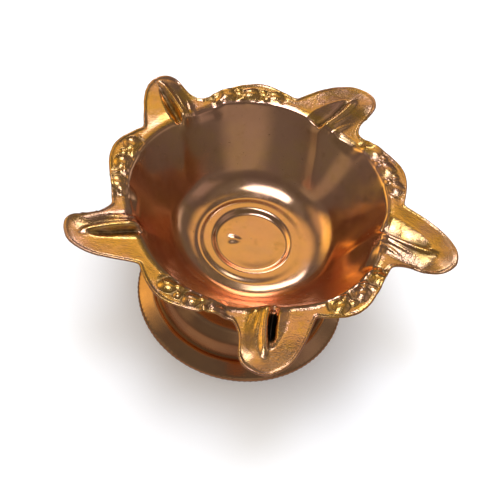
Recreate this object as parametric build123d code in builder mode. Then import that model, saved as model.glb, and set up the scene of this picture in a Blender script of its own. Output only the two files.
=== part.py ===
"""Five-lipped brass diya (oil lamp): a pressed sheet bowl soldered onto a spun hollow stand.

Millimetres, +Z up.  The origin is on the lamp's axis, in the plane that the foot stands on.
+X runs through the middle of the root of one wick lip; the five lips repeat every 72 degrees.
"""
import os
from math import asin, cos, degrees, radians, sin, tan

from build123d import *

# ---- driving dimensions -------------------------------------------------------------------
sheet = 0.5                  # thickness of the brass sheet, bowl and stand alike

lip_count = 5
lip_pitch = 360 / lip_count

flange_top = 37.2            # height of the flange's upper face over the table
mouth_radius = 28.9          # where the bowl wall meets the flange
wall_slope = 52              # of the straight upper wall, degrees from level
floor_radius = 17.2          # where wall and floor would meet in a sharp corner
floor_bend = 9.0             # bend radius there
mouth_bend = 1.2             # bend radius between wall and flange
flange_lap = 0.6             # how far the bend's level end reaches under the flange

recess_radius = 8.4          # round recess in the middle of the floor
recess_floor = 20.6          # height of the recess's floor over the table
recess_bend = 0.58           # a little more than the sheet, so that the underside bends too
ring_top = 21.8              # height of the raised ring round the recess
ring_outer = 10.8            # where the ring's flat top ends
valley_radius = 12.6         # bottom of the shallow valley outside the ring
valley_height = 21.45
ring_bend = 1.0              # bend radii at the ring's outer edge and in the valley
valley_bend = 1.5
dimple_radius = 1.5          # tack dimple pressed up in the recess's floor
dimple_height = 0.5
dimple_offset = (-4.2, -0.6)

root_radius = 32.0           # flange radius at the inside corners beside a lip
scallop_radius = 34.8        # flange radius at the crest of a scallop
lip_reach = 44.3             # radius of a lip's tip
corner_bend = 1.6            # rounding of the inside corners

groove_depth = 1.3           # wick groove in a lip, below the flange
groove_inset = 0.6           # how far its sides lean in on the way down
ridge_height = 0.7           # stiffening ridge beside the groove
ridge_width = 1.4
ridge_draft = 20

bead_count = 3               # embossed beads along each scallop
bead_pitch = 10.6            # degrees
first_bead = -27             # angle of the bead nearest the lip, clockwise from the lip's root
bead_circle = 31.4           # radius of the row of beads
bead_curve = 1.8             # radius of a bead's dome
bead_height = 0.8            # of the dome over the flange

foot_radius = 25.5
foot_edge = 0.8              # height of the foot's plumb outer edge
brim_crest = 21.8            # top of the foot's sloping brim
brim_height = 2.8
crease_radius = 20.9         # crease between the brim and the dome
crease_height = 2.4
dome_radius = 19.9           # where the dome's side leans in
dome_height = 6.4
shoulder_run = 0.5           # small flat step on top of the dome
shoulder_drop = 0.4
shoulder_radius = 17.4       # top edge of the dome
shoulder_height = 9.4
waist_radius = 11.2          # hollow curve between shoulder and neck
waist_height = 12.4
neck_foot = 16.0             # height where the neck runs straight
neck_radius = 9.8            # outside of the stand's neck
neck_top = 21.0
stand_bends = [0.6, 0.3, 0.6, 4.0, 0.3, 0.3, 1.5, 4.0]     # bend radii, from the foot up
solder_reach = 0.4           # how far the solder runs down inside the neck
solder_bead = 0.7            # size of the bead round the outside of the joint
corner_gap = 0.3             # bend left free where boss and dish meet

boss_radius = recess_radius + sheet
neck_bore = neck_radius - sheet
brim_root = mouth_radius + mouth_bend * tan(radians(wall_slope / 2))
bed_root = mouth_radius - (groove_depth + sheet) / tan(radians(wall_slope)) + sheet
cut_root = mouth_radius - 2 * sheet - groove_depth / tan(radians(wall_slope))
wall_rise = (mouth_radius - floor_radius) * tan(radians(wall_slope))


def polar(radius, angle):
    """A point in a level plane, from its radius and its angle in degrees."""
    return (radius * cos(radians(angle)), radius * sin(radians(angle)))


def level_plane(height, turn):
    """A level plane at this height, turned about the lamp's axis."""
    return Plane.XY.offset(height).rotated((0, 0, turn))


def groove_section(height, turn, root, inset):
    """The wick groove's outline at one height, from the root radius out, drawn in by the inset."""
    mouth = Vector(*polar(root, groove_root_angle)) + groove_across * inset
    tip = groove_tip + groove_across * (inset / 2) - groove_along * (inset * 2)
    belly = groove_belly - groove_across * inset
    far_side = Vector(*polar(root, groove_heel_angle)) - groove_across * inset
    with BuildSketch(level_plane(height, turn)) as section:
        with BuildLine():
            Line(mouth, tip)
            ThreePointArc(tip, belly, far_side)
            Line(far_side, mouth)
        make_face()
    return section.sketch


# ---- outlines of one lip, as seen from above with the lip's root on +X ----------------------
heel = polar(root_radius, 14.5)
toe = polar(root_radius, -16)
next_heel = polar(root_radius, 14.5 - lip_pitch)
lip_outline = [
    heel,
    polar(38.7, 6),
    polar(43.4, -1),
    polar(lip_reach, -5.5),
    polar(42.2, -11.2),
    polar(36.4, -12.3),
    toe,
]
scallop_outline = [toe, polar(33.2, -29), polar(scallop_radius, -42), next_heel]

# The wick groove is a leaf: straight beside the ridge, bulging towards the heel.
groove_root_angle = -1.0
groove_heel_angle = 6.8
groove_tip = Vector(*polar(38.6, -3.2))
groove_belly = Vector(*polar(34.8, 2.6))
groove_along = (groove_tip - Vector(*polar(root_radius, groove_root_angle))).normalized()
groove_across = groove_along.rotate(Axis.Z, 90)
ridge_start = polar(30.0, -3.6)
ridge_end = polar(38.6, -6.0)

# ---- bowl: one sheet, pressed to a dish with a flange, five lips and a recess ----------------
dish_points = [
    (0, recess_floor),
    (recess_radius, recess_floor),
    (recess_radius, ring_top),
    (ring_outer, ring_top),
    (valley_radius, valley_height),
    (floor_radius, flange_top - wall_rise),
    (mouth_radius, flange_top),
    (root_radius - corner_bend, flange_top),
]
dish_bends = [recess_bend, recess_bend, ring_bend, valley_bend, floor_bend, mouth_bend]

with BuildPart() as bowl:
    # dish and the inner part of the flange
    with BuildSketch(Plane.XZ):
        with BuildLine():
            FilletPolyline(*dish_points, radius=dish_bends)
            offset(amount=sheet, side=Side.RIGHT)
        make_face()
    revolve(axis=Axis.Z)

    # flange with its scallops and lips
    with BuildSketch(Plane.XY.offset(flange_top - sheet)) as flange_sketch:
        with BuildLine():
            for index in range(lip_count):
                turn = index * lip_pitch
                for outline in (lip_outline, scallop_outline):
                    Spline(*[Vector(*point).rotate(Axis.Z, turn) for point in outline])
        make_face()
        fillet(flange_sketch.vertices(), radius=corner_bend)
        Circle(brim_root + flange_lap, mode=Mode.SUBTRACT)
    extrude(amount=sheet)

    for index in range(lip_count):
        turn = index * lip_pitch

        # sheet round the wick groove, under the flange, then the groove itself
        shell_depth = groove_depth + sheet
        shell_brim = groove_section(flange_top, turn, brim_root, -sheet)
        shell_bed = groove_section(flange_top - shell_depth, turn, bed_root, groove_inset - sheet)
        loft([shell_brim, shell_bed])
        groove_brim = groove_section(flange_top, turn, cut_root, 0)
        groove_bed = groove_section(flange_top - groove_depth, turn, cut_root, groove_inset)
        loft([groove_brim, groove_bed], mode=Mode.SUBTRACT)

        # ridge beside the groove
        with BuildSketch(level_plane(flange_top, turn)):
            with BuildLine():
                Line(ridge_start, ridge_end)
            trace(line_width=ridge_width)
        extrude(amount=ridge_height, taper=ridge_draft)

    # embossed beads: hollow domes over the flange
    bead_places = []
    for index in range(lip_count):
        for bead in range(bead_count):
            angle = index * lip_pitch + first_bead - bead * bead_pitch
            bead_places.append((*polar(bead_circle, angle), flange_top + bead_height - bead_curve))
    dome_start = degrees(asin((bead_curve - bead_height) / bead_curve))
    hollow_start = degrees(asin((bead_curve - bead_height - sheet) / (bead_curve - sheet)))
    with Locations(*bead_places):
        Sphere(bead_curve, arc_size1=dome_start, align=None)
        Sphere(bead_curve - sheet, arc_size1=hollow_start, align=None, mode=Mode.SUBTRACT)

    # tack dimple in the recess's floor
    dimple_curve = (dimple_radius ** 2 + dimple_height ** 2) / (2 * dimple_height)
    dimple_start = degrees(asin(1 - dimple_height / dimple_curve))
    with Locations((*dimple_offset, recess_floor + dimple_height - dimple_curve)):
        Sphere(dimple_curve, arc_size1=dimple_start, align=None)
bowl.part.label = "bowl"

# ---- stand: a sheet spun to a brim, a dome and a neck ---------------------------------------
stand_points = [
    (foot_radius, 0),
    (foot_radius, foot_edge),
    (brim_crest, brim_height),
    (crease_radius, crease_height),
    (dome_radius, dome_height),
    (shoulder_radius + shoulder_run, shoulder_height - shoulder_drop),
    (shoulder_radius, shoulder_height),
    (waist_radius, waist_height),
    (neck_radius, neck_foot),
    (neck_radius, neck_top),
]

with BuildPart() as stand:
    with BuildSketch(Plane.XZ):
        with BuildLine():
            FilletPolyline(*stand_points, radius=stand_bends)
            offset(amount=sheet, side=Side.LEFT)
        make_face()
    revolve(axis=Axis.Z)
stand.part.label = "stand"

# ---- solder joint: fills the gap between boss and neck and beads up under the dish -----------
solder_foot = neck_top - solder_reach
dish_under = ring_top - sheet
with BuildPart() as solder_joint:
    with BuildSketch(Plane.XZ):
        with BuildLine():
            Polyline(
                (boss_radius, solder_foot),
                (neck_bore, solder_foot),
                (neck_bore, neck_top),
                (neck_radius, neck_top),
                (neck_radius, neck_top - solder_bead),
                (neck_radius + solder_bead, dish_under),
                (boss_radius + corner_gap, dish_under),
                (boss_radius, dish_under - corner_gap),
                close=True,
            )
        make_face()
    revolve(axis=Axis.Z)
solder_joint.part.label = "solder_joint"

# ---- export ----------------------------------------------------------------------------------
os.makedirs("parts", exist_ok=True)
for piece in (bowl, stand, solder_joint):
    export_step(piece.part, f"parts/{piece.part.label}.step")
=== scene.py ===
"""Looks for the five-lipped brass diya: detailed sheet-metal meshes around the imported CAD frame."""
import math

import bpy
import numpy as np
from mathutils import Matrix, Vector


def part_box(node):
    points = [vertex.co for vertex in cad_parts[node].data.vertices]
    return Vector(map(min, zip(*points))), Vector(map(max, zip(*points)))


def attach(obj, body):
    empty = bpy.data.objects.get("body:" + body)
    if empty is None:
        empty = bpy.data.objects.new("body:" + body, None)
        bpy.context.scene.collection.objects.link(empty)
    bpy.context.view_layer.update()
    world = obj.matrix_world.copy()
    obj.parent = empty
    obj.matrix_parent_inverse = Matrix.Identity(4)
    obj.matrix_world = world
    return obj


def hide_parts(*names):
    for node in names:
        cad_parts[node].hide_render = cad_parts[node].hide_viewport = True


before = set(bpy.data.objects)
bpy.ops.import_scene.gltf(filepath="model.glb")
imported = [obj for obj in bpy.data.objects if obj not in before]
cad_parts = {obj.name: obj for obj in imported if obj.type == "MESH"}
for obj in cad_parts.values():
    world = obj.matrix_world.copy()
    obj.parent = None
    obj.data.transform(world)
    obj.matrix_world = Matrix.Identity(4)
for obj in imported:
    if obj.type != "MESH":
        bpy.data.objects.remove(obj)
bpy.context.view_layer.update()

MM = 0.001
LIPS = 5
PITCH = 360 / LIPS
SHEET = 0.5                   # sheet thickness, mm

# ---- sizes taken from the frame (mm) -------------------------------------------------------
bowl_low, bowl_high = (np.array(corner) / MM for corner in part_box("bowl"))
stand_high = np.array(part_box("stand")[1]) / MM
BEAD_HEIGHT = 0.8                            # the highest thing on the bowl
FLANGE = bowl_high[2] - BEAD_HEIGHT          # upper face of the flange
BOSS_FOOT = bowl_low[2]                      # underside of the recess
FOOT_R = stand_high[0]
NECK_TOP = stand_high[2]

# ---- the dish's profile, upper face, from the axis out (mm) ---------------------------------
WALL_SLOPE = math.radians(52)
MOUTH_R = 28.9
FLOOR_R = 17.2
FLANGE_START = 31.0
RECESS_R = 8.4
RECESS_FLOOR = BOSS_FOOT + SHEET + 0.25
RING_TOP = 21.65
RING_OUTER = 10.8
VALLEY_R = 12.6
VALLEY_Z = 21.5
WALL_DROP = 13.5              # height of the wall, from the flange down
ROOT_R = 32.0                 # radius of the inside corners beside a lip
DIMPLE = (-4.1, -0.6)         # where the tack dimple stands on the recess floor


def polar(radius, degrees):
    """A point in the plane, from its radius and its angle in degrees."""
    angle = math.radians(degrees)
    return np.array([radius * math.cos(angle), radius * math.sin(angle)])


def smoothstep(low, high, value):
    """0 at low, 1 at high and smooth between them; low may be the larger of the two."""
    t = np.clip((value - low) / (high - low), 0, 1)
    return t * t * (3 - 2 * t)


def band(value, middle, half_width):
    """A smooth hump: 1 where value is middle, 0 from half_width away on either side."""
    return np.clip(1 - ((value - middle) / half_width) ** 2, 0, None) ** 2


def wrapped(degrees):
    """Degrees brought into -180 to 180."""
    return (degrees + 180) % 360 - 180


def lip_axes(x, y, lip):
    """The same points in one lip's own axes, with the lip's root on +X."""
    turn = math.radians(lip * PITCH)
    return x * math.cos(turn) + y * math.sin(turn), y * math.cos(turn) - x * math.sin(turn)


LATTICE = 32                  # cells each way before the noise repeats


def value_noise(points, scale, seed):
    """Smooth value noise of points (n, 3) in mm; one cell is scale mm."""
    lattice = np.random.RandomState(seed).uniform(-1, 1, (LATTICE, LATTICE, LATTICE))
    p = np.asarray(points) / scale + 100
    whole = np.floor(p).astype(int)
    f = p - whole
    f = f * f * (3 - 2 * f)
    total = 0
    for dx in (0, 1):
        for dy in (0, 1):
            for dz in (0, 1):
                cell = (whole + (dx, dy, dz)) % LATTICE
                corner = lattice[cell[:, 0], cell[:, 1], cell[:, 2]]
                weight = (
                    (f[:, 0] if dx else 1 - f[:, 0])
                    * (f[:, 1] if dy else 1 - f[:, 1])
                    * (f[:, 2] if dz else 1 - f[:, 2])
                )
                total = total + corner * weight
    return total


def filleted(points, radii, spacing):
    """A polyline with its corners rounded by arcs, sampled about every spacing mm."""
    points = [np.array(point, float) for point in points]
    path = [points[0]]
    for k in range(1, len(points) - 1):
        before, corner, after = points[k - 1], points[k], points[k + 1]
        radius = radii[k - 1]
        a = (before - corner) / np.linalg.norm(before - corner)
        b = (after - corner) / np.linalg.norm(after - corner)
        half = math.acos(np.clip(np.dot(a, b), -1, 1)) / 2
        reach = radius / math.tan(half)
        start, end = corner + a * reach, corner + b * reach
        centre = corner + (a + b) / np.linalg.norm(a + b) * (radius / math.sin(half))
        steps = max(4, int(radius * (math.pi - 2 * half) / spacing))
        first, last = start - centre, end - centre
        swing = math.acos(np.clip(np.dot(first, last) / radius ** 2, -1, 1))
        for step in range(steps + 1):
            t = step / steps
            turned = (math.sin((1 - t) * swing) * first + math.sin(t * swing) * last) / math.sin(swing)
            path.append(centre + turned)
    path.append(points[-1])
    path = np.array(path)
    length = np.concatenate([[0], np.cumsum(np.linalg.norm(np.diff(path, axis=0), axis=1))])
    keep = np.concatenate([[True], np.diff(length) > 1e-6])
    path, length = path[keep], length[keep]
    even = np.linspace(0, length[-1], int(length[-1] / spacing) + 2)
    return np.stack([np.interp(even, length, path[:, i]) for i in (0, 1)], 1)


def natural_spline(points, count):
    """A natural cubic spline through the points, by chord length, as count samples."""
    points = np.array(points, float)
    t = np.concatenate([[0], np.cumsum(np.linalg.norm(np.diff(points, axis=0), axis=1))])
    n = len(points)
    h = np.diff(t)
    system = np.eye(n)
    right = np.zeros((n, 2))
    for k in range(1, n - 1):
        system[k, k - 1:k + 2] = [h[k - 1], 2 * (h[k - 1] + h[k]), h[k]]
        right[k] = 6 * ((points[k + 1] - points[k]) / h[k] - (points[k] - points[k - 1]) / h[k - 1])
    m = np.linalg.solve(system, right)
    samples = np.linspace(0, t[-1], count)
    k = np.clip(np.searchsorted(t, samples) - 1, 0, n - 2)
    a, b = (t[k + 1] - samples)[:, None], (samples - t[k])[:, None]
    hk = h[k][:, None]
    return (
        (m[k] * a ** 3 + m[k + 1] * b ** 3) / (6 * hk)
        + (points[k] / hk - m[k] * hk / 6) * a
        + (points[k + 1] / hk - m[k + 1] * hk / 6) * b
    )


# ---- outline of one lip and the scallop after it, with the lip's root on +X ------------------
HEEL = 14.5                   # angles of the inside corners beside a lip
TOE = -16.0
LIP_POINTS = [                # radius and angle
    (ROOT_R, HEEL),
    (38.7, 6),
    (43.4, -1),
    (44.3, -5.5),
    (42.2, -11.2),
    (36.4, -12.3),
    (ROOT_R, TOE),
]
SCALLOP_POINTS = [(ROOT_R, TOE), (33.2, -29), (34.8, -42), (ROOT_R, HEEL - PITCH)]
LIP_COLUMNS = 76
SCALLOP_COLUMNS = 68
CORNER_SOFTNESS = 0.75        # mm, rounds the inside corners
EDGE_SAMPLES = 6000           # points round the edge while it is rounded
BLUR_SAMPLES = 60             # how many of them the rounding reaches each way

# hand-made differences between the lips, from the one on +X counter-clockwise
LIP_REACH = [1.008, 1.000, 0.935, 0.975, 0.998]      # how far the lip reaches, against the outline
LIP_LIFT = [0.3, -0.4, 0.5, 0.0, -0.5]               # how far the tip is bent up, mm
GROOVE_WIDTH = [1.22, 1.05, 0.60, 0.72, 1.05]        # width of the wick groove, against the mean
GROOVE_DEPTH = [0.95, 1.0, 0.60, 0.62, 0.9]          # its depth, against the mean
GROOVE_SOFT = [0.9, 0.2, 1.0, 1.0, 0.8]              # how softly it runs out into the border, 0 to 1
SLOT_DEPTH = [0.1, 0.2, 0.2, 0.3, 1.5]               # deeper slot beside the ridge, mm
SLOT_SHADE = [0.0, 0.15, 0.35, 0.45, 1.0]             # painted shadow in that slot, 0 to 1
BEAD_SHARE = [0.85, 0.62, 0.7, 0.72, 1.0]            # height of the beads after each lip, 0 to 1
CREASE_DRIFT = [-9, -14, 12, -6, -5]                 # lean of the wall's crease on its way down, degrees
CREASE_DEPTH = [1.4, 1.7, 1.1, 1.0, 1.0]             # how deeply the wall is folded, mm
BEAD_PHASE = [2.0, -0.4, 0.0, 1.5, 5.5]              # shift of the beads after each lip, degrees


def outline():
    """Outer edge of the flange, one point for each column, clockwise from the first lip's heel."""
    edge = []
    for lip in range(LIPS):
        turn = -lip * PITCH
        reach = LIP_REACH[-lip % LIPS]       # the columns run clockwise, the list counter-clockwise
        lip_points = []
        for radius, angle in LIP_POINTS:
            stretch = 1 + (reach - 1) * float(smoothstep(ROOT_R, 40, radius))
            lip_points.append(polar(radius * stretch, angle + turn))
        scallop_points = [polar(radius, angle + turn) for radius, angle in SCALLOP_POINTS]
        edge.append(natural_spline(lip_points, LIP_COLUMNS + 1)[:-1])
        edge.append(natural_spline(scallop_points, SCALLOP_COLUMNS + 1)[:-1])
    edge = np.concatenate(edge)
    # round the inside corners: a short Gaussian along the edge
    step = np.linalg.norm(np.roll(edge, -1, 0) - edge, axis=1)
    along = np.concatenate([[0], np.cumsum(step)[:-1]])
    total = step.sum()
    even = np.linspace(0, total, EDGE_SAMPLES, endpoint=False)
    closed = np.concatenate([edge, edge[:1]])
    marks = np.concatenate([along, [total]])
    dense = np.stack([np.interp(even, marks, closed[:, i]) for i in (0, 1)], 1)
    offsets = np.arange(-BLUR_SAMPLES, BLUR_SAMPLES + 1)
    weights = np.exp(-0.5 * (offsets * (total / EDGE_SAMPLES) / CORNER_SOFTNESS) ** 2)
    weights /= weights.sum()
    smooth = sum(w * np.roll(dense, -o, 0) for w, o in zip(weights, offsets))
    ring = np.concatenate([smooth, smooth[:1]])
    ring_marks = np.concatenate([even, [total]])
    edge = np.stack([np.interp(along, ring_marks, ring[:, i]) for i in (0, 1)], 1)
    # slight raggedness, as cut by hand
    flat = np.concatenate([edge, np.zeros((len(edge), 1))], 1)
    nick = 0.10 * value_noise(flat, 2.4, 8) + 0.05 * value_noise(flat, 0.9, 9)
    return edge * (1 + (nick / np.linalg.norm(edge, axis=1))[:, None])


def column_angles():
    """Angle of each column at the mouth of the dish, clockwise from the first lip's heel."""
    lip = np.linspace(HEEL, TOE, LIP_COLUMNS, endpoint=False)
    scallop = np.linspace(TOE, HEEL - PITCH, SCALLOP_COLUMNS, endpoint=False)
    sector = np.concatenate([lip, scallop])
    return np.radians(np.concatenate([sector - index * PITCH for index in range(LIPS)]))


# ---- relief pressed into the flange, as a height over it --------------------------------------
GROOVE_START = 28.0           # where the wick groove starts, mm from the axis
GROOVE_RUN = 10.8             # its length
NEAR_SIDE = 0.95              # from the ridge's crest to the groove's steep side
SLOT_INSET = 0.75             # from there to the middle of the slot
SLOT_HALF_WIDTH = 1.15

BEADS = 3
BEAD_PITCH = 10.6             # degrees
FIRST_BEAD = -30.5            # angle of the bead group nearest the lip
BEAD_R = 31.75                # radius of the circle they stand on
# the domes of one bead group: degrees before its crease, mm outside the bead circle,
# half length, half width, share of the full height, slant against the circle
BEAD_DOMES = [
    (3.4, 0.0, 2.15, 1.70, 1.0, 20),
    (6.9, -1.35, 1.15, 0.85, 0.68, 35),
    (8.6, 0.45, 0.95, 1.05, 0.55, 10),
]


def ridge_line(x):
    """Share of the groove's length at x, and how far across the lip the ridge stands there."""
    s = np.clip((x - GROOVE_START) / GROOVE_RUN, 0, 1)
    return s, -1.5 - 2.0 * s - 0.35 * np.sin(math.pi * s)


def slot_mask(x, y):
    """1 along the slot beside the ridge, in one lip's own axes, 0 away from it."""
    middle = ridge_line(x)[1] + NEAR_SIDE + SLOT_INSET
    return band(y, middle, SLOT_HALF_WIDTH) * (1 - smoothstep(34.0, 37.0, x))


def groove_relief(x, y, lip):
    """The wick groove, the ridge beside it and the slope beyond, in one lip's own axes."""
    s, ridge_y = ridge_line(x)
    # groove: steep beside the ridge, a gentle slope up to the flat border
    width = GROOVE_WIDTH[lip] * np.interp(s, [0, 0.25, 0.55, 0.8, 1.0], [3.7, 3.9, 3.3, 2.2, 0.8])
    q = (y - ridge_y - NEAR_SIDE) / width
    steep = smoothstep(-0.20, 0.16, q)
    crisp = np.clip(1.05 - np.clip(q, 0.05, 1.05), 0, 1) ** 0.95
    soft = smoothstep(1.25, -0.15, q)
    gentle = crisp * (1 - GROOVE_SOFT[lip]) + soft * GROOVE_SOFT[lip]
    depth = np.interp(s, [0, 0.3, 0.7, 0.93, 1.0], [1.5, 1.5, 1.25, 0.7, 0])
    end = 1 - smoothstep(37.4, 39.2, x)
    groove = -GROOVE_DEPTH[lip] * depth * steep * gentle * end
    groove -= SLOT_DEPTH[lip] * slot_mask(x, y)
    # ridge: a rounded fold that narrows towards the tip
    ridge_width = np.interp(s, [0, 0.5, 1.0], [1.3, 1.15, 0.95])
    ridge = 0.60 * band(y, ridge_y, ridge_width) * (1 - smoothstep(37.8, 41.0, x))
    # the far side of the ridge slopes down to the lip's edge
    slope = -0.95 * smoothstep(0.2, 4.8, ridge_y - y) * (1 - smoothstep(36.5, 42.0, x))
    # two thin folds running out of the notch
    fold = 0.24 * band(y, -2.7 - 3.2 * s, 0.6) * (1 - smoothstep(31.0, 36.5, x))
    fold += 0.16 * band(y, -3.9 - 5.0 * s, 0.6) * (1 - smoothstep(30.0, 33.5, x))
    return groove + ridge + slope + fold


def tip_relief(x, y, lift):
    """The lip's slow bend along its length, and a twist of the tip."""
    s = np.clip((x - 31) / 13, 0, 1.1)
    hook = smoothstep(0.45, 1.05, s) * smoothstep(-2.0, -8.0, y)
    droop = -0.22 * smoothstep(0.3, 1.0, s) * smoothstep(-1.5, 4.0, y)
    return lift * s ** 2 + 0.6 * hook * s + droop


def bead_relief(x, y, phase):
    """Bead groups along a scallop: a broad dome, two small ones and a crescent crease at the end."""
    height = np.zeros_like(x)
    crease = np.zeros_like(x)
    for bead in range(BEADS):
        end_angle = FIRST_BEAD - BEAD_PITCH * bead + phase
        tall = BEAD_HEIGHT * (0.7 if bead == 0 else 0.85)      # the first of a row is lower
        for d_angle, d_radius, half_length, half_width, share, slant in BEAD_DOMES:
            angle = end_angle + d_angle
            centre = polar(BEAD_R + d_radius, angle)
            lean = math.radians(angle + 90 + slant)
            along = (x - centre[0]) * math.cos(lean) + (y - centre[1]) * math.sin(lean)
            across = -(x - centre[0]) * math.sin(lean) + (y - centre[1]) * math.cos(lean)
            dome = 1 - (along / half_length) ** 2 - (across / half_width) ** 2
            height = np.maximum(height, tall * share * np.clip(dome, 0, 1) ** 0.95)
        centre = polar(BEAD_R - 0.1, end_angle + 3.2)
        off = np.hypot(x - centre[0], y - centre[1])
        heading = np.degrees(np.arctan2(y - centre[1], x - centre[0])) - (end_angle - 90 - 25)
        heading = wrapped(heading)
        crease = np.minimum(crease, -0.32 * band(off, 2.45, 0.5) * band(heading, 0, 45))
        # the petal's lifted edge, on the mouth side
        height = np.maximum(height, 0.12 * band(off, 2.75, 0.5) * band(heading, -95, 70))
    return height + crease


def flange_relief(points):
    """Height over the flange plane for points (n, 2), mm."""
    height = np.zeros(len(points))
    for lip in range(LIPS):
        x, y = lip_axes(points[:, 0], points[:, 1], lip)
        angle = np.degrees(np.arctan2(y, x))
        on_lip = (angle > TOE - 10) & (angle < HEEL + 8) & (x > 0)
        relief = groove_relief(x, y, lip) + tip_relief(x, y, LIP_LIFT[lip])
        relief *= smoothstep(TOE - 10, TOE - 3, angle) * smoothstep(HEEL + 8, HEEL + 2, angle)
        height[on_lip] += relief[on_lip]
        on_scallop = (angle < TOE + 8) & (angle > HEEL - PITCH - 4) & (x > 0)
        beads = BEAD_SHARE[lip] * bead_relief(x, y, BEAD_PHASE[lip])
        beads *= smoothstep(TOE - 1.0, TOE - 6.0, angle)
        height[on_scallop] += beads[on_scallop]
    return height


def lip_slot_shade(x, y):
    """How much painted shadow the top face gets, 0 to 1: only in the slots where the wicks lie."""
    slot_shade = np.zeros_like(x)
    for lip in range(LIPS):
        along, across = lip_axes(x, y, lip)
        slot_shade = np.maximum(slot_shade, SLOT_SHADE[lip] * slot_mask(along, across) * (along > 0))
    return slot_shade


def crease_offset(angles, depth):
    """How far the wall is folded in below each lip, mm; depth is 0 at the rim, 1 at the floor."""
    degrees = np.degrees(angles)
    inward = np.zeros(np.broadcast(degrees, depth).shape)
    left = np.clip(1 - depth, 0, 1)          # share of the fold still there at this depth
    for lip in range(LIPS):
        delta = wrapped(degrees - (lip * PITCH - 0.5 + CREASE_DRIFT[lip] * depth))
        # a rounded crest 2 degrees wide, dying away within about 9
        fold = np.exp(-(np.sqrt(delta ** 2 + 4.0) - 2.0) / 9.0)
        inward += CREASE_DEPTH[lip] * left ** 0.9 * fold
        # the lobe between two folds stands out a little
        lobe = wrapped(degrees - lip * PITCH + PITCH / 2)
        inward -= 0.35 * left * band(lobe, 0, 30)
    return inward


# ---- mesh helpers ---------------------------------------------------------------------------
def grid_normals(points):
    """Normals of a grid (rows, columns, 3) closed round the columns, pointing up or inwards."""
    around = np.roll(points, -1, 1) - np.roll(points, 1, 1)
    out = np.empty_like(points)
    out[1:-1] = points[2:] - points[:-2]
    out[0] = points[1] - points[0]
    out[-1] = points[-1] - points[-2]
    normal = np.cross(around, out)
    length = np.linalg.norm(normal, axis=2, keepdims=True)
    return normal / np.maximum(length, 1e-12)


def ring_faces(rows, columns, flip=False):
    """Quads of a grid of vertices closed round its columns."""
    faces = []
    for row in range(rows - 1):
        for column in range(columns):
            following = (column + 1) % columns
            a = row * columns + column
            b = row * columns + following
            c = (row + 1) * columns + following
            d = (row + 1) * columns + column
            faces.append((a, d, c, b) if flip else (a, b, c, d))
    return faces


def tube_faces(rows, columns):
    """Quads of a ring whose section is a closed loop of rows vertices."""
    faces = ring_faces(rows, columns, flip=True)
    last = (rows - 1) * columns
    for column in range(columns):
        following = (column + 1) % columns
        faces.append((last + column, column, following, last + following))
    return faces


def make_object(name, points, faces, replaced, attributes):
    """A smooth-shaded object from points in mm, riding on the lamp's one body."""
    mesh = bpy.data.meshes.new(name)
    mesh.from_pydata((np.asarray(points) * MM).tolist(), [], faces)
    mesh.validate()
    mesh.update()
    mesh.polygons.foreach_set("use_smooth", [True] * len(mesh.polygons))
    for label, values in attributes.items():
        layer = mesh.attributes.new(label, "FLOAT", "POINT")
        layer.data.foreach_set("value", np.asarray(values, np.float32))
    piece = bpy.data.objects.new(name, mesh)
    bpy.context.scene.collection.objects.link(piece)
    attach(piece, "root")
    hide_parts(replaced)
    return piece


# ---- bowl -----------------------------------------------------------------------------------
DISH_ROWS = 92
FLANGE_ROWS = 34
FINE_STEP = 0.02              # mm, for the profile before its rows are spaced


def dish_grid(theta):
    """Upper face of the dish up to the flange, rows from near the axis out."""
    rise = (MOUTH_R - FLOOR_R) * math.tan(WALL_SLOPE)
    profile_points = [
        (0.0, RECESS_FLOOR),
        (RECESS_R - 0.2, RECESS_FLOOR),
        (RECESS_R + 0.8, RING_TOP),
        (RING_OUTER, RING_TOP),
        (VALLEY_R, VALLEY_Z),
        (FLOOR_R, FLANGE - rise),
        (MOUTH_R - 0.1, FLANGE - 0.42),
        (MOUTH_R + 1.4, FLANGE),
        (FLANGE_START, FLANGE),
    ]
    bends = [1.5, 1.6, 4.0, 6.0, 9.0, 1.5, 2.5]
    fine = filleted(profile_points, bends, FINE_STEP)
    # closer rows where the profile bends
    heading = np.unwrap(np.arctan2(np.gradient(fine[:, 1]), np.gradient(fine[:, 0])))
    density = 1 + 1.3 * np.abs(np.gradient(heading)) / FINE_STEP
    density[fine[:, 0] < 6] = 0.45
    marks = np.cumsum(density)
    even = np.linspace(marks[0], marks[-1], DISH_ROWS)
    profile = np.stack([np.interp(even, marks, fine[:, i]) for i in (0, 1)], 1)[1:]
    radius, height = profile[:, 0][:, None], profile[:, 1][:, None]
    depth = np.clip((FLANGE - height) / WALL_DROP, 0, 1.2)
    inward = crease_offset(theta[None, :], depth) * smoothstep(13.0, 19.0, radius)
    r = radius - inward
    x, y = r * np.cos(theta), r * np.sin(theta)
    z = np.repeat(height, len(theta), 1)
    # the ring round the recess is creased on one side only
    side = 0.5 - 0.5 * np.cos(theta[None, :] - math.radians(10))
    z = z - 0.26 * side ** 2 * band(radius, VALLEY_R - 0.4, 1.1)
    flat = np.stack([x.ravel(), y.ravel()], 1)
    z = z + flange_relief(flat).reshape(z.shape) * smoothstep(26.2, MOUTH_R, r)
    return np.stack([x, y, z], 2)


def dent(points, normals):
    """Small hand-made unevenness, pushed along the normals."""
    rows, columns, _ = points.shape
    flat = points.reshape(-1, 3)
    radius = np.hypot(flat[:, 0], flat[:, 1])
    amount = 0.12 * value_noise(flat, 8.0, 3) + 0.02 * value_noise(flat, 3.1, 4)
    amount *= smoothstep(2.0, 14.0, radius)
    floor = 0.06 * value_noise(flat, 4.0, 5) * (1 - smoothstep(6.0, 10.0, radius))
    waves = 0.26 * value_noise(flat, 9.0, 6) + 0.03 * value_noise(flat, 2.7, 7)
    waves *= smoothstep(29.5, 32.5, radius)
    return points + normals * (amount + floor + waves).reshape(rows, columns, 1)


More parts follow.
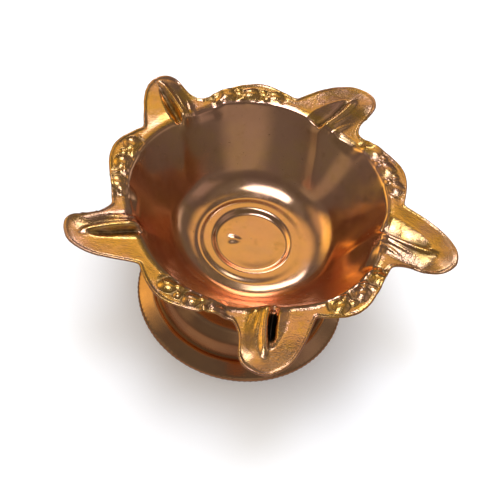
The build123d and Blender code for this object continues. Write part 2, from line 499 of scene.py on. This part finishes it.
def flange_grid(start, edge):
    """Upper face of the flange and its lips, rows from the dish out to the edge."""
    spread = np.linspace(0, 1, FLANGE_ROWS + 1)[1:]
    # closer rows near the outer edge, where it curls
    spread = 1 - (1 - spread) ** 1.12
    flat = start[None] * (1 - spread[:, None, None]) + edge[None] * spread[:, None, None]
    relief = flange_relief(flat.reshape(-1, 2)).reshape(FLANGE_ROWS, -1)
    gap = np.linalg.norm(edge[None] - flat, axis=2)
    curl = 0.22 * np.exp(-(gap / 0.55) ** 2)
    z = FLANGE + relief + curl
    return np.concatenate([flat, z[:, :, None]], 2)


def finish_recess(top):
    """The recess leans a little, and a tack dimple stands on its floor."""
    x, y = top[:, :, 0], top[:, :, 1]
    r = np.hypot(x, y)
    lean = 0.16 * x / RECESS_R - 0.10 * y / RECESS_R
    top[:, :, 2] += lean * (1 - smoothstep(5.5, 8.3, r)) * smoothstep(0.0, 4.0, r)
    top[:, :, 2] += 0.32 * band(np.hypot(x - DIMPLE[0], y - DIMPLE[1]), 0, 1.6)


def rolled_rim(face_edge, face_normal, edge):
    """Rows round the sheet's outer edge, from the upper face to the underside."""
    tangent = np.roll(edge, -1, 0) - np.roll(edge, 1, 0)
    outward = np.stack([-tangent[:, 1], tangent[:, 0], np.zeros(len(edge))], 1)
    outward /= np.linalg.norm(outward, axis=1, keepdims=True)
    middle = face_edge - face_normal * SHEET / 2
    rim = []
    for angle in (-60, -20, 20, 60):
        a = math.radians(angle)
        rim.append(middle + (outward * math.cos(a) - face_normal * math.sin(a)) * SHEET / 2)
    return np.array(rim)


def crevices(relief):
    """How far each point lies below its neighbourhood, 0 to 1."""
    smooth = relief
    for _ in range(10):
        smooth = (
            np.roll(smooth, 1, 1) + np.roll(smooth, -1, 1)
            + np.concatenate([smooth[1:], smooth[-1:]])
            + np.concatenate([smooth[:1], smooth[:-1]])
        ) / 4
    return np.clip((smooth - relief) * 5, 0, 1)


def build_bowl():
    """The whole pressed sheet as one closed mesh: upper face, rolled edge and underside."""
    edge = outline()
    dish = dish_grid(column_angles())
    dish_rows = dish.shape[0]
    top = np.concatenate([dish, flange_grid(dish[-1, :, :2], edge)], 0)
    top = dent(top, grid_normals(top))
    finish_recess(top)
    normal = grid_normals(top)
    normal[normal[:, :, 2] < 0] *= -1
    rows, columns = top.shape[:2]

    # underside: the same sheet, one thickness further out, with half the rows
    under_rows = sorted(set(range(0, dish_rows, 2)) | set(range(dish_rows - 1, rows, 2)) | {rows - 1})
    under = (top - normal * SHEET)[under_rows]
    rim = rolled_rim(top[-1], normal[-1], edge)
    poles = np.array([
        [0, 0, top[0, :, 2].mean()],
        [0, 0, under[0, :, 2].mean()],
    ])
    points = np.concatenate([top.reshape(-1, 3), rim.reshape(-1, 3), under[::-1].reshape(-1, 3), poles])
    count = rows + len(rim) + len(under)
    faces = ring_faces(count, columns)
    top_pole, under_pole = count * columns, count * columns + 1
    last = (count - 1) * columns
    for column in range(columns):
        following = (column + 1) % columns
        faces.append((top_pole, following, column))
        faces.append((under_pole, last + column, last + following))

    # what the finish and the painted shade depend on, each as rows of the upper face, the rim, the
    # underside and the poles
    rim_points, under_points = rim.size // 3, under.size // 3
    satin_top = np.zeros((rows, columns))
    satin_top[dish_rows - 5:] = 1
    # the hollows of the flange's relief, which the material darkens as painted shade
    crevice_top = crevices(top[:, :, 2] - FLANGE) * satin_top
    mouth_distance = np.hypot(top[:, :, 0], top[:, :, 1])
    # painted shadow in the wick slots, from the mouth outwards
    slot_shade_top = lip_slot_shade(top[:, :, 0], top[:, :, 1]) * smoothstep(28.0, 29.4, mouth_distance)
    elsewhere = np.zeros(rim_points + under_points + 2)
    finish = {
        "satin": np.concatenate([satin_top.ravel(), np.ones(rim_points + under_points), [0, 1]]),
        "crevice": np.concatenate([crevice_top.ravel(), elsewhere]),
        "slot_shade": np.concatenate([slot_shade_top.ravel(), elsewhere]),
        "underside": np.concatenate([
            np.zeros(rows * columns), np.full(rim_points, 0.5), np.ones(under_points), [0, 1],
        ]),
        "outer": smoothstep(37.0, 42.5, np.hypot(points[:, 0], points[:, 1])),
    }
    return make_object("pressed_bowl", points, faces, "bowl", finish)


# ---- stand ----------------------------------------------------------------------------------
STAND_COLUMNS = 480
MILL_TEETH = 120              # fine milling round the brim's edge
MILL_DEPTH = 0.09
BRIM_CREASE_R = 20.9          # crease between the brim and the dome
NECK_R = 9.8                  # outside of the neck


def build_stand():
    """The spun sheet from the foot's edge up to the neck, hollow and open underneath."""
    outer_points = [
        (FOOT_R, 0.0),
        (FOOT_R, 0.8),
        (21.8, 2.8),
        (BRIM_CREASE_R, 2.4),
        (19.9, 6.4),
        (17.9, 9.0),
        (17.4, 9.4),
        (11.2, 12.4),
        (NECK_R, 16.0),
        (NECK_R, NECK_TOP),
    ]
    bends = [0.35, 0.3, 0.45, 4.0, 0.3, 0.3, 1.5, 4.0]
    outer = filleted(outer_points, bends, 0.42)
    columns = STAND_COLUMNS
    theta = -np.linspace(0, 2 * math.pi, columns, endpoint=False)
    rows = len(outer)
    r = outer[:, 0][:, None]
    z = np.repeat(outer[:, 1][:, None], columns, 1)
    near_edge = smoothstep(FOOT_R - 0.8, FOOT_R - 0.1, r)
    r = r - np.abs(np.sin(theta * MILL_TEETH / 2))[None, :] * MILL_DEPTH * near_edge
    top = np.stack([r * np.cos(theta), r * np.sin(theta), z], 2)
    normal = -grid_normals(top)
    if normal[rows // 2, 0, 0] < 0:
        normal = -normal
    flat = top.reshape(-1, 3)
    wobble = 0.05 * value_noise(flat, 9.0, 11) + 0.02 * value_noise(flat, 3.5, 12)
    wobble *= smoothstep(0.6, 2.5, flat[:, 2])
    outer_face = top + normal * wobble.reshape(rows, columns, 1)
    inner_face = outer_face - normal * SHEET
    inner_face[:, :, 2] = np.clip(inner_face[:, :, 2], 0, NECK_TOP)
    inner_face[-1, :, 2] = NECK_TOP
    outer_face[-1, :, 2] = NECK_TOP
    outer_face[0, :, 2] = 0
    inner_face[0, :, 2] = 0
    points = np.concatenate([outer_face, inner_face[::-1]], 0).reshape(-1, 3)
    faces = tube_faces(2 * rows, columns)
    inside = np.concatenate([np.zeros(outer_face.size // 3), np.ones(inner_face.size // 3)])
    # painted shade goes inside the stand and into the crease round the brim
    from_crease = np.hypot(points[:, 0], points[:, 1]) - BRIM_CREASE_R - 0.1
    crevice = np.exp(-(from_crease / 0.35) ** 2) * (points[:, 2] < 3.4) * (1 - inside)
    finish = {"inside": inside, "crevice": crevice}
    return make_object("spun_stand", points, faces, "stand", finish)


# ---- solder ---------------------------------------------------------------------------------
SOLDER_BEAD = 0.7             # size of the bead round the outside of the joint
SOLDER_COLUMNS = 180


def build_solder():
    """A lumpy ring between the recess's boss and the neck."""
    low, high = (np.array(corner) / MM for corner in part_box("solder_joint"))
    neck = high[0] - SOLDER_BEAD
    bore = neck - SHEET
    roof = RING_TOP - SHEET - 0.06           # just under the recess ring
    section_points = [
        (bore - 0.45, low[2] - 0.05),
        (bore - 0.02, low[2] - 0.05),
        (bore - 0.02, NECK_TOP + 0.03),
        (neck + 0.02, NECK_TOP + 0.03),
        (neck + 0.02, NECK_TOP - 0.6),
        (neck + 0.62, roof - 0.15),
        (neck + 0.5, roof),
        (bore + 0.05, roof),
        (bore - 0.3, low[2] + 0.2),
        (bore - 0.45, low[2] - 0.04),
    ]
    section = filleted(section_points, [0.01, 0.01, 0.01, 0.01, 0.08, 0.05, 0.02, 0.05], 0.07)
    columns = SOLDER_COLUMNS
    theta = np.linspace(0, 2 * math.pi, columns, endpoint=False)
    r = np.repeat(section[:, 0][:, None], columns, 1)
    z = np.repeat(section[:, 1][:, None], columns, 1)
    ring = np.stack([r * np.cos(theta), r * np.sin(theta), z], 2)
    flat = ring.reshape(-1, 3)
    outer = smoothstep(neck + 0.1, neck + 0.6, np.hypot(flat[:, 0], flat[:, 1]))
    lump = 0.16 * value_noise(flat, 1.8, 21) * outer
    direction = flat * [1, 1, 0] / np.hypot(flat[:, 0], flat[:, 1])[:, None]
    flat = flat + direction * lump[:, None]
    faces = tube_faces(len(section), columns)
    return make_object("solder_bead", flat, faces, "solder_joint", {})


# ---- materials ------------------------------------------------------------------------------
class Graph:
    """Short hand for building a material's nodes."""

    def __init__(self, name):
        self.material = bpy.data.materials.new(name)
        self.material.use_nodes = True
        self.nodes = self.material.node_tree.nodes
        self.links = self.material.node_tree.links
        self.shader = self.nodes["Principled BSDF"]
        self.coords = self.nodes.new("ShaderNodeTexCoord").outputs["Object"]

    def attribute(self, label):
        node = self.nodes.new("ShaderNodeAttribute")
        node.attribute_name = label
        return node.outputs["Fac"]

    def noise(self, scale, detail=3.0, roughness=0.55, vector=None):
        node = self.nodes.new("ShaderNodeTexNoise")
        node.inputs["Scale"].default_value = scale
        node.inputs["Detail"].default_value = detail
        node.inputs["Roughness"].default_value = roughness
        self.links.new(vector or self.coords, node.inputs["Vector"])
        return node.outputs["Fac"]

    def math(self, operation, a, b=0.0, clamp=False):
        node = self.nodes.new("ShaderNodeMath")
        node.operation = operation
        node.use_clamp = clamp
        for socket, value in zip(node.inputs, (a, b)):
            if isinstance(value, (int, float)):
                socket.default_value = value
            else:
                self.links.new(value, socket)
        return node.outputs[0]

    def ramp(self, value, low, high, from_low=0.0, from_high=1.0):
        node = self.nodes.new("ShaderNodeMapRange")
        node.inputs["From Min"].default_value = from_low
        node.inputs["From Max"].default_value = from_high
        node.inputs["To Min"].default_value = low
        node.inputs["To Max"].default_value = high
        self.links.new(value, node.inputs["Value"])
        return node.outputs[0]

    def mix(self, factor, a, b):
        node = self.nodes.new("ShaderNodeMix")
        node.data_type = "RGBA"
        self.links.new(factor, node.inputs["Factor"])
        for socket, value in zip((node.inputs["A"], node.inputs["B"]), (a, b)):
            if isinstance(value, tuple):
                socket.default_value = (*value, 1)
            else:
                self.links.new(value, socket)
        return node.outputs["Result"]

    def bump(self, height, strength, distance):
        node = self.nodes.new("ShaderNodeBump")
        node.inputs["Strength"].default_value = strength
        node.inputs["Distance"].default_value = distance
        self.links.new(height, node.inputs["Height"])
        return node.outputs["Normal"]

    def set(self, socket, value):
        if isinstance(value, (int, float)):
            self.shader.inputs[socket].default_value = value
        else:
            self.links.new(value, self.shader.inputs[socket])


BRASS = (0.88, 0.49, 0.24)
BRASS_GOLD = (0.93, 0.515, 0.14)
BRASS_ROSE = (0.86, 0.46, 0.28)
# dark for small pits, and for painted shade in hollows, in creases and inside the stand
PITS_AND_SHADE_DARK = (0.17, 0.095, 0.035)
# painted shadow: near black, for the slot beside each lip's ridge
SLOT_SHADE_BLACK = (0.035, 0.025, 0.018)
STAIN = (0.62, 0.31, 0.12)
# painted shade: the bowl's brass made darker, as the stand sits under the bowl
STAND_LIGHT = (0.72, 0.40, 0.20)
STAND_DARK = (0.58, 0.31, 0.17)
SOLDER_LIGHT = (0.55, 0.53, 0.50)
SOLDER_DARK = (0.30, 0.28, 0.25)
FLOOR_DARK = (0.86, 0.86, 0.86)
FLOOR_LIGHT = (0.88, 0.88, 0.88)


def bowl_material():
    """Polished inside the dish, satin on the flange; rose and golden patches, dark pits, painted shade in
    the relief's hollows and painted shadow in the wick slots.
    """
    g = Graph("bowl_brass")
    satin = g.attribute("satin")
    crevice = g.attribute("crevice")
    colour = g.mix(g.ramp(g.noise(95, 3), 0, 1, 0.42, 0.60), BRASS_ROSE, BRASS)
    gilt = g.math("MULTIPLY", g.ramp(g.noise(130, 4, 0.6), 0, 1, 0.43, 0.56), satin, clamp=True)
    worn = g.ramp(g.noise(170, 4, 0.6), 0.2, 1, 0.40, 0.52)
    bare = g.math("MULTIPLY", g.attribute("outer"), worn, clamp=True)
    gilt = g.math("MULTIPLY", gilt, g.math("SUBTRACT", 1.0, bare))
    colour = g.mix(gilt, colour, BRASS_GOLD)
    stain = g.ramp(g.noise(420, 5, 0.65), 0, 0.45, 0.56, 0.74)
    colour = g.mix(stain, colour, STAIN)
    speck = g.math("GREATER_THAN", g.noise(1900, 2, 0.5), 0.735)
    # painted shade in the relief's hollows, broken up by noise, plus real dark pits
    hollow_shade_and_pits = g.math("MULTIPLY", crevice, g.ramp(g.noise(900, 3), 0.55, 1.0, 0.3, 0.6), clamp=True)
    hollow_shade_and_pits = g.math("MAXIMUM", hollow_shade_and_pits, g.math("MULTIPLY", speck, 0.7))
    colour = g.mix(hollow_shade_and_pits, colour, PITS_AND_SHADE_DARK)
    # painted shadow: the slots beside the ridges turn near black
    slot_shade = g.ramp(g.attribute("slot_shade"), 0, 1, 0.25, 0.6)
    colour = g.mix(slot_shade, colour, SLOT_SHADE_BLACK)
    g.links.new(colour, g.shader.inputs["Base Color"])
    g.set("Metallic", 1.0)
    smear = g.ramp(g.noise(260, 4), -0.04, 0.07, 0.3, 0.7)
    rough = g.math("ADD", g.ramp(satin, 0.14, 0.15), smear)
    rough = g.math("ADD", rough, g.math("MULTIPLY", hollow_shade_and_pits, 0.3))
    rough = g.math("ADD", rough, g.math("MULTIPLY", bare, 0.07))
    rough = g.math("ADD", rough, g.math("MULTIPLY", g.attribute("underside"), 0.12))
    g.set("Roughness", rough)
    peel = g.noise(3200, 2, 0.5)
    peel_wide = g.noise(1300, 2, 0.5)
    height = g.math("ADD", peel, g.math("MULTIPLY", peel_wide, 1.1))
    height = g.math("MULTIPLY", height, g.ramp(satin, 0.035, 1.0))
    g.links.new(g.bump(height, 0.6, 0.00006), g.shader.inputs["Normal"])
    return g.material


def stand_material():
    """Duller spun brass, its colour a darker copy of the bowl's as painted shade under the bowl, with
    more painted shade inside and in the crease round the brim.
    """
    g = Graph("stand_brass")
    inside = g.attribute("inside")
    crevice = g.attribute("crevice")
    blotch = g.ramp(g.noise(90, 4), 0, 1, 0.4, 0.65)
    colour = g.mix(blotch, STAND_LIGHT, STAND_DARK)
    # painted shade inside and in the crease; the same mask also makes those places rougher
    shaded_and_rough = g.math("MAXIMUM", inside, crevice)
    colour = g.mix(g.math("MULTIPLY", shaded_and_rough, 0.6), colour, PITS_AND_SHADE_DARK)
    g.links.new(colour, g.shader.inputs["Base Color"])
    g.set("Metallic", 1.0)
    rough = g.math("ADD", g.ramp(g.noise(300, 4), 0.15, 0.24, 0.3, 0.7), g.math("MULTIPLY", shaded_and_rough, 0.2))
    g.set("Roughness", rough)
    # spun lines: rings round the axis
    split = g.nodes.new("ShaderNodeSeparateXYZ")
    g.links.new(g.coords, split.inputs[0])
    x_squared = g.math("MULTIPLY", split.outputs[0], split.outputs[0])
    y_squared = g.math("MULTIPLY", split.outputs[1], split.outputs[1])
    radius = g.math("SQRT", g.math("ADD", x_squared, y_squared))
    join = g.nodes.new("ShaderNodeCombineXYZ")
    g.links.new(radius, join.inputs[0])
    g.links.new(split.outputs[2], join.inputs[1])
    rings = g.noise(3500, 2, 0.6, join.outputs[0])
    peel = g.noise(1500, 2, 0.5)
    height = g.math("ADD", rings, g.math("MULTIPLY", peel, 0.6))
    g.links.new(g.bump(height, 0.25, 0.00005), g.shader.inputs["Normal"])
    return g.material


def solder_material():
    g = Graph("solder_grey")
    cloud = g.noise(700, 4)
    colour = g.mix(cloud, SOLDER_LIGHT, SOLDER_DARK)
    g.links.new(colour, g.shader.inputs["Base Color"])
    g.set("Metallic", 1.0)
    g.set("Roughness", g.ramp(cloud, 0.32, 0.55))
    g.links.new(g.bump(g.noise(1800, 3), 0.4, 0.0001), g.shader.inputs["Normal"])
    return g.material


def floor_material():
    g = Graph("pale_floor")
    speck = g.noise(60, 3)
    colour = g.mix(speck, FLOOR_DARK, FLOOR_LIGHT)
    g.links.new(colour, g.shader.inputs["Base Color"])
    g.set("Roughness", 0.9)
    return g.material


# ---- stage ----------------------------------------------------------------------------------
CAMERA_AZIMUTH = 2.5          # degrees, as are the elevation and the roll
CAMERA_ELEVATION = 53.05
CAMERA_ROLL = 12.3
CAMERA_DISTANCE = 0.2203      # from the aim, metres
LENS = 72.0                   # mm
SENSOR_WIDTH = 36.0           # mm
AIM_HEIGHT = FLANGE - 1.2     # the aim starts on the axis, just under the mouth, mm
AIM_LEFT = 0.00223            # and moves this far in the picture, metres
AIM_DOWN = 0.01087
FLOOR_HALF = 1.5              # metres
FLOOR_GAP = 0.00005           # keeps the floor's face off the foot's


def build_floor():
    corners = [(-1, -1), (1, -1), (1, 1), (-1, 1)]
    mesh = bpy.data.meshes.new("floor")
    mesh.from_pydata([(x * FLOOR_HALF, y * FLOOR_HALF, 0) for x, y in corners], [], [(0, 1, 2, 3)])
    floor = bpy.data.objects.new("floor", mesh)
    bpy.context.scene.collection.objects.link(floor)
    floor.location.z = -FLOOR_GAP
    floor.data.materials.append(floor_material())
    floor.visible_glossy = False


def direction(azimuth, elevation):
    """Unit vector; azimuth 0 is the way the camera looks, positive to its right."""
    a, e = math.radians(azimuth - CAMERA_AZIMUTH), math.radians(elevation)
    return Vector((math.sin(a) * math.cos(e), math.cos(a) * math.cos(e), math.sin(e)))


def soft_light(name, azimuth, elevation, distance, width, height, power, colour, mirrored):
    """An area light that faces the lamp; mirrored says whether the brass shows it."""
    data = bpy.data.lights.new(name, "AREA")
    data.shape = "RECTANGLE"
    data.size = width
    data.size_y = height
    data.energy = power
    data.color = colour
    lamp = bpy.data.objects.new(name, data)
    bpy.context.scene.collection.objects.link(lamp)
    centre = Vector((0, 0, 0.03))
    toward = direction(azimuth, elevation)
    lamp.location = centre + toward * distance
    lamp.rotation_euler = (-toward).to_track_quat("-Z", "Y").to_euler()
    lamp.visible_glossy = mirrored
    return lamp


def build_camera():
    turn, tilt, roll = (math.radians(v) for v in (CAMERA_AZIMUTH, CAMERA_ELEVATION, CAMERA_ROLL))
    forward = Vector((-math.sin(turn) * math.cos(tilt), math.cos(turn) * math.cos(tilt), -math.sin(tilt)))
    level = Vector((math.cos(turn), math.sin(turn), 0))
    upright = level.cross(forward)
    right = level * math.cos(roll) + upright * math.sin(roll)
    up = upright * math.cos(roll) - level * math.sin(roll)
    mouth = Vector((0, 0, AIM_HEIGHT * MM))
    aim = mouth - right * AIM_LEFT - up * AIM_DOWN
    data = bpy.data.cameras.new("camera")
    data.lens = LENS
    data.sensor_width = SENSOR_WIDTH
    data.clip_start = 0.01
    camera = bpy.data.objects.new("camera", data)
    bpy.context.scene.collection.objects.link(camera)
    basis = Matrix((right, up, -forward)).transposed()
    camera.matrix_world = Matrix.Translation(aim - forward * CAMERA_DISTANCE) @ basis.to_4x4()
    bpy.context.scene.camera = camera


class RoomLight:
    """World shader: a dim room with soft bright panels, for the brass to mirror."""

    def __init__(self):
        world = bpy.data.worlds.new("room")
        bpy.context.scene.world = world
        world.use_nodes = True
        self.nodes, self.links = world.node_tree.nodes, world.node_tree.links
        self.background = self.nodes["Background"]
        self.view = self.nodes.new("ShaderNodeTexCoord").outputs["Generated"]
        self.total = None

    def gradient(self, stops):
        split = self.nodes.new("ShaderNodeSeparateXYZ")
        self.links.new(self.view, split.inputs[0])
        level = self.nodes.new("ShaderNodeMapRange")
        level.inputs["From Min"].default_value = -1
        self.links.new(split.outputs[2], level.inputs["Value"])
        ramp = self.nodes.new("ShaderNodeValToRGB")
        self.links.new(level.outputs[0], ramp.inputs[0])
        elements = ramp.color_ramp.elements
        while len(elements) < len(stops):
            elements.new(0.5)
        for element, (place, colour) in zip(elements, stops):
            element.position = place
            element.color = (*colour, 1)
        self.total = ramp.outputs[0]

    def dot(self, axis):
        node = self.nodes.new("ShaderNodeVectorMath")
        node.operation = "DOT_PRODUCT"
        self.links.new(self.view, node.inputs[0])
        node.inputs[1].default_value = axis
        return node.outputs["Value"]

    def maths(self, operation, a, b=0.0):
        node = self.nodes.new("ShaderNodeMath")
        node.operation = operation
        for socket, value in zip(node.inputs, (a, b)):
            if isinstance(value, float):
                socket.default_value = value
            else:
                self.links.new(value, socket)
        return node.outputs[0]

    def panel(self, azimuth, elevation, half_width, half_height, softness, colour):
        """A soft-edged panel; sizes in degrees, softness 0 to 1."""
        centre = direction(azimuth, elevation)
        across = Vector((0, 0, 1)).cross(centre).normalized()
        upward = centre.cross(across)
        aside = self.maths("ABSOLUTE", self.dot(across))
        above = self.maths("ABSOLUTE", self.dot(upward))
        u = self.maths("DIVIDE", aside, math.sin(math.radians(half_width)))
        v = self.maths("DIVIDE", above, math.sin(math.radians(half_height)))
        power = 4.0                          # rounds the panel's corners
        q = self.maths("ADD", self.maths("POWER", u, power), self.maths("POWER", v, power))
        reach = self.maths("POWER", q, 1 / power)
        fade = self.nodes.new("ShaderNodeMapRange")
        fade.interpolation_type = "SMOOTHSTEP"
        fade.inputs["From Min"].default_value = 1 + softness
        fade.inputs["From Max"].default_value = 1 - softness
        self.links.new(reach, fade.inputs["Value"])
        ahead = self.maths("GREATER_THAN", self.dot(centre), 0.0)
        mask = self.maths("MULTIPLY", fade.outputs[0], ahead)
        scale = self.nodes.new("ShaderNodeVectorMath")
        scale.operation = "SCALE"
        scale.inputs[0].default_value = colour
        self.links.new(mask, scale.inputs["Scale"])
        add = self.nodes.new("ShaderNodeVectorMath")
        self.links.new(self.total, add.inputs[0])
        self.links.new(scale.outputs[0], add.inputs[1])
        self.total = add.outputs[0]

    def finish(self, backdrop):
        """The brass mirrors the room; past the floor's edge there is only a plain backdrop."""
        self.links.new(self.total, self.background.inputs["Color"])
        plain = self.nodes.new("ShaderNodeBackground")
        plain.inputs["Color"].default_value = (*backdrop, 1)
        mix = self.nodes.new("ShaderNodeMixShader")
        seen = self.nodes.new("ShaderNodeLightPath").outputs["Is Camera Ray"]
        self.links.new(seen, mix.inputs[0])
        self.links.new(self.background.outputs[0], mix.inputs[1])
        self.links.new(plain.outputs[0], mix.inputs[2])
        self.links.new(mix.outputs[0], self.nodes["World Output"].inputs["Surface"])


def build_world():
    room = RoomLight()
    room.gradient([
        (0.0, (0.34, 0.28, 0.25)),
        (0.40, (0.30, 0.22, 0.18)),
        (0.49, (0.15, 0.11, 0.09)),
        (0.54, (0.11, 0.09, 0.08)),
        (0.75, (0.16, 0.155, 0.15)),
        (0.93, (0.12, 0.11, 0.105)),
        (1.0, (0.20, 0.20, 0.20)),
    ])
    # two bright ones, overhead and ahead; the others are much weaker tints round about
    room.panel(-60, 85, 10, 8, 0.35, (4.6, 5.2, 6.6))
    room.panel(-12, 35, 7, 4.5, 0.4, (5.0, 5.4, 6.6))
    room.panel(-3, 53, 20, 8, 0.5, (0.70, 0.53, 0.20))
    room.panel(-72, 42, 12, 12, 0.6, (0.36, 0.26, 0.13))
    room.panel(154, 24, 20, 15, 0.4, (0.17, 0.15, 0.12))
    room.panel(-119, 22, 9, 18, 0.5, (0.17, 0.15, 0.10))
    room.panel(-64, 28, 16, 11, 0.5, (1.05, 0.76, 0.16))
    room.panel(49, 19, 9, 8, 0.5, (0.44, 0.42, 0.42))
    room.panel(85, 45, 12, 12, 0.6, (0.18, 0.16, 0.16))
    room.finish((1, 1, 1))


def build_lights():
    soft_light(
        "floor_wash", azimuth=0, elevation=89, distance=2.2, width=3.2, height=3.2, power=95,
        colour=(1, 1, 1), mirrored=False,
    )


build_camera()
build_floor()
build_world()
build_lights()

bowl = build_bowl()
stand = build_stand()
solder = build_solder()
bowl.data.materials.append(bowl_material())
stand.data.materials.append(stand_material())
solder.data.materials.append(solder_material())

bpy.context.scene.view_settings.view_transform = "Standard"
